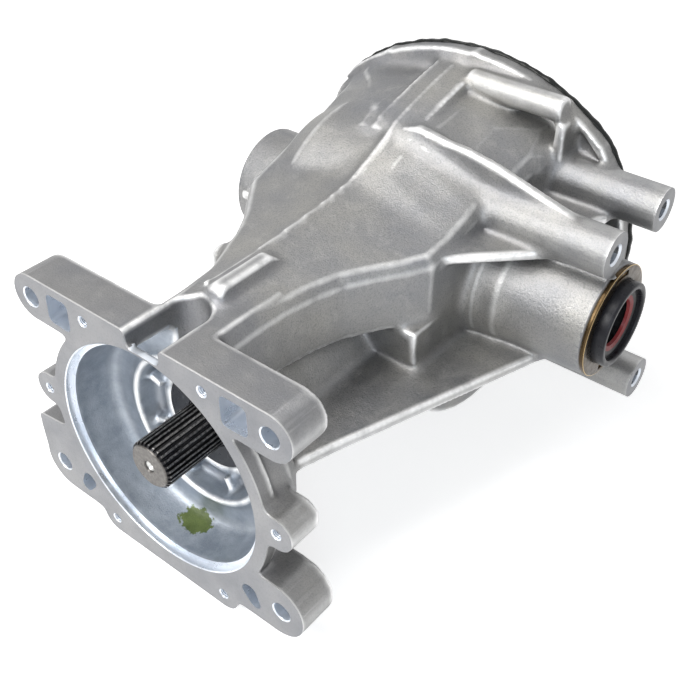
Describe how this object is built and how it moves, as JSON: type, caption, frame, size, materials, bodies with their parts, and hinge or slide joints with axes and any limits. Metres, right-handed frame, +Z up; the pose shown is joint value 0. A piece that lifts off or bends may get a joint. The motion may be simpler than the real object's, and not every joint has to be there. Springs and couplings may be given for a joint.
{
  "type": "rear axle final drive",
  "caption": "Rear axle final drive with a cast bell-flanged carrier, hypoid gear pair, bevel differential, splined input shaft and sealed output tubes.",
  "frame": {"origin": "centre of the pilot recess, in the plane of the front flange", "axes": "X along the output axis, +Y from the flange back along the input shaft, +Z up"},
  "size_m": [0.336, 0.4039, 0.2811],
  "materials": {
    "cast_aluminium": "sand cast, satin, with machined faces",
    "cover_paint": "semi-gloss black paint on pressed steel",
    "sealant": "cured black bead",
    "zinc_steel": "zinc plated",
    "plug_steel": "phosphated",
    "seal_rubber": "satin black rubber",
    "lip_rubber": "red rubber lip",
    "seal_rim": "brown coated steel",
    "bearing_steel": "ground",
    "adjuster_iron": "machined",
    "shaft_black": "black oxide, machined tip",
    "nut_steel": "machined",
    "case_iron": "cast with turned faces",
    "gear_steel": "lapped teeth, dark case-hardened body",
    "thrust_bronze": "bronze"
  },
  "bodies": {
    "carrier": {"carrier_housing": "cast_aluminium", "rear_cover": "cover_paint", "cover_sealant": "sealant", "cover_bolts": "zinc_steel", "fill_plug": "plug_steel", "drain_plug": "plug_steel", "breather": "zinc_steel", "input_seal": "seal_rubber", "pinion_tail_cup": "bearing_steel", "pinion_head_cup": "bearing_steel", "side_cup_left": "bearing_steel", "side_cup_right": "bearing_steel", "side_adjuster_left": "adjuster_iron", "side_adjuster_right": "adjuster_iron", "seal_carrier_left": "seal_rim", "seal_carrier_right": "seal_rim", "output_seal_left": "seal_rubber", "output_seal_right": "seal_rubber", "dust_lip_left": "lip_rubber", "dust_lip_right": "lip_rubber"},
    "pinion": {"input_shaft": "shaft_black", "pinion_nut": "nut_steel", "pinion_washer": "nut_steel", "pinion_tail_cone": "bearing_steel", "pinion_head_cone": "bearing_steel", "preload_sleeve": "nut_steel", "pinion_shim": "nut_steel"},
    "differential": {"differential_case": "case_iron", "ring_gear": "gear_steel", "ring_gear_bolts": "nut_steel", "side_cone_left": "bearing_steel", "side_cone_right": "bearing_steel", "cross_pin": "gear_steel", "cross_pin_lock": "nut_steel", "side_washer_left": "thrust_bronze", "side_washer_right": "thrust_bronze", "spider_washers": "thrust_bronze"},
    "side_gear_left": {"side_gear_left": "gear_steel"},
    "side_gear_right": {"side_gear_right": "gear_steel"},
    "spider_upper": {"spider_gear_upper": "gear_steel"},
    "spider_lower": {"spider_gear_lower": "gear_steel"}
  },
  "joints": [
    {"name": "differential_spin", "type": "hinge", "parent": "carrier", "child": "differential", "pos_m": [0, 0.272, 0.045], "axis": [1, 0, 0], "continuous": true},
    {"name": "pinion_spin", "type": "hinge", "parent": "carrier", "child": "pinion", "pos_m": [0, 0, 0], "axis": [0, 1, 0], "continuous": true},
    {"name": "side_gear_left_spin", "type": "hinge", "parent": "differential", "child": "side_gear_left", "pos_m": [0, 0.272, 0.045], "axis": [1, 0, 0], "continuous": true},
    {"name": "side_gear_right_spin", "type": "hinge", "parent": "differential", "child": "side_gear_right", "pos_m": [0, 0.272, 0.045], "axis": [1, 0, 0], "continuous": true},
    {"name": "spider_upper_spin", "type": "hinge", "parent": "differential", "child": "spider_upper", "pos_m": [0, 0.272, 0.045], "axis": [0, 0, 1], "continuous": true},
    {"name": "spider_lower_spin", "type": "hinge", "parent": "differential", "child": "spider_lower", "pos_m": [0, 0.272, 0.045], "axis": [0, 0, 1], "continuous": true}
  ],
  "couplings": [
    {"joint": "pinion_spin", "follows": "differential_spin", "ratio": -3.4167},
    {"joint": "side_gear_right_spin", "follows": "side_gear_left_spin", "ratio": -1},
    {"joint": "spider_upper_spin", "follows": "side_gear_left_spin", "ratio": 1.6},
    {"joint": "spider_lower_spin", "follows": "side_gear_left_spin", "ratio": -1.6}
  ]
}
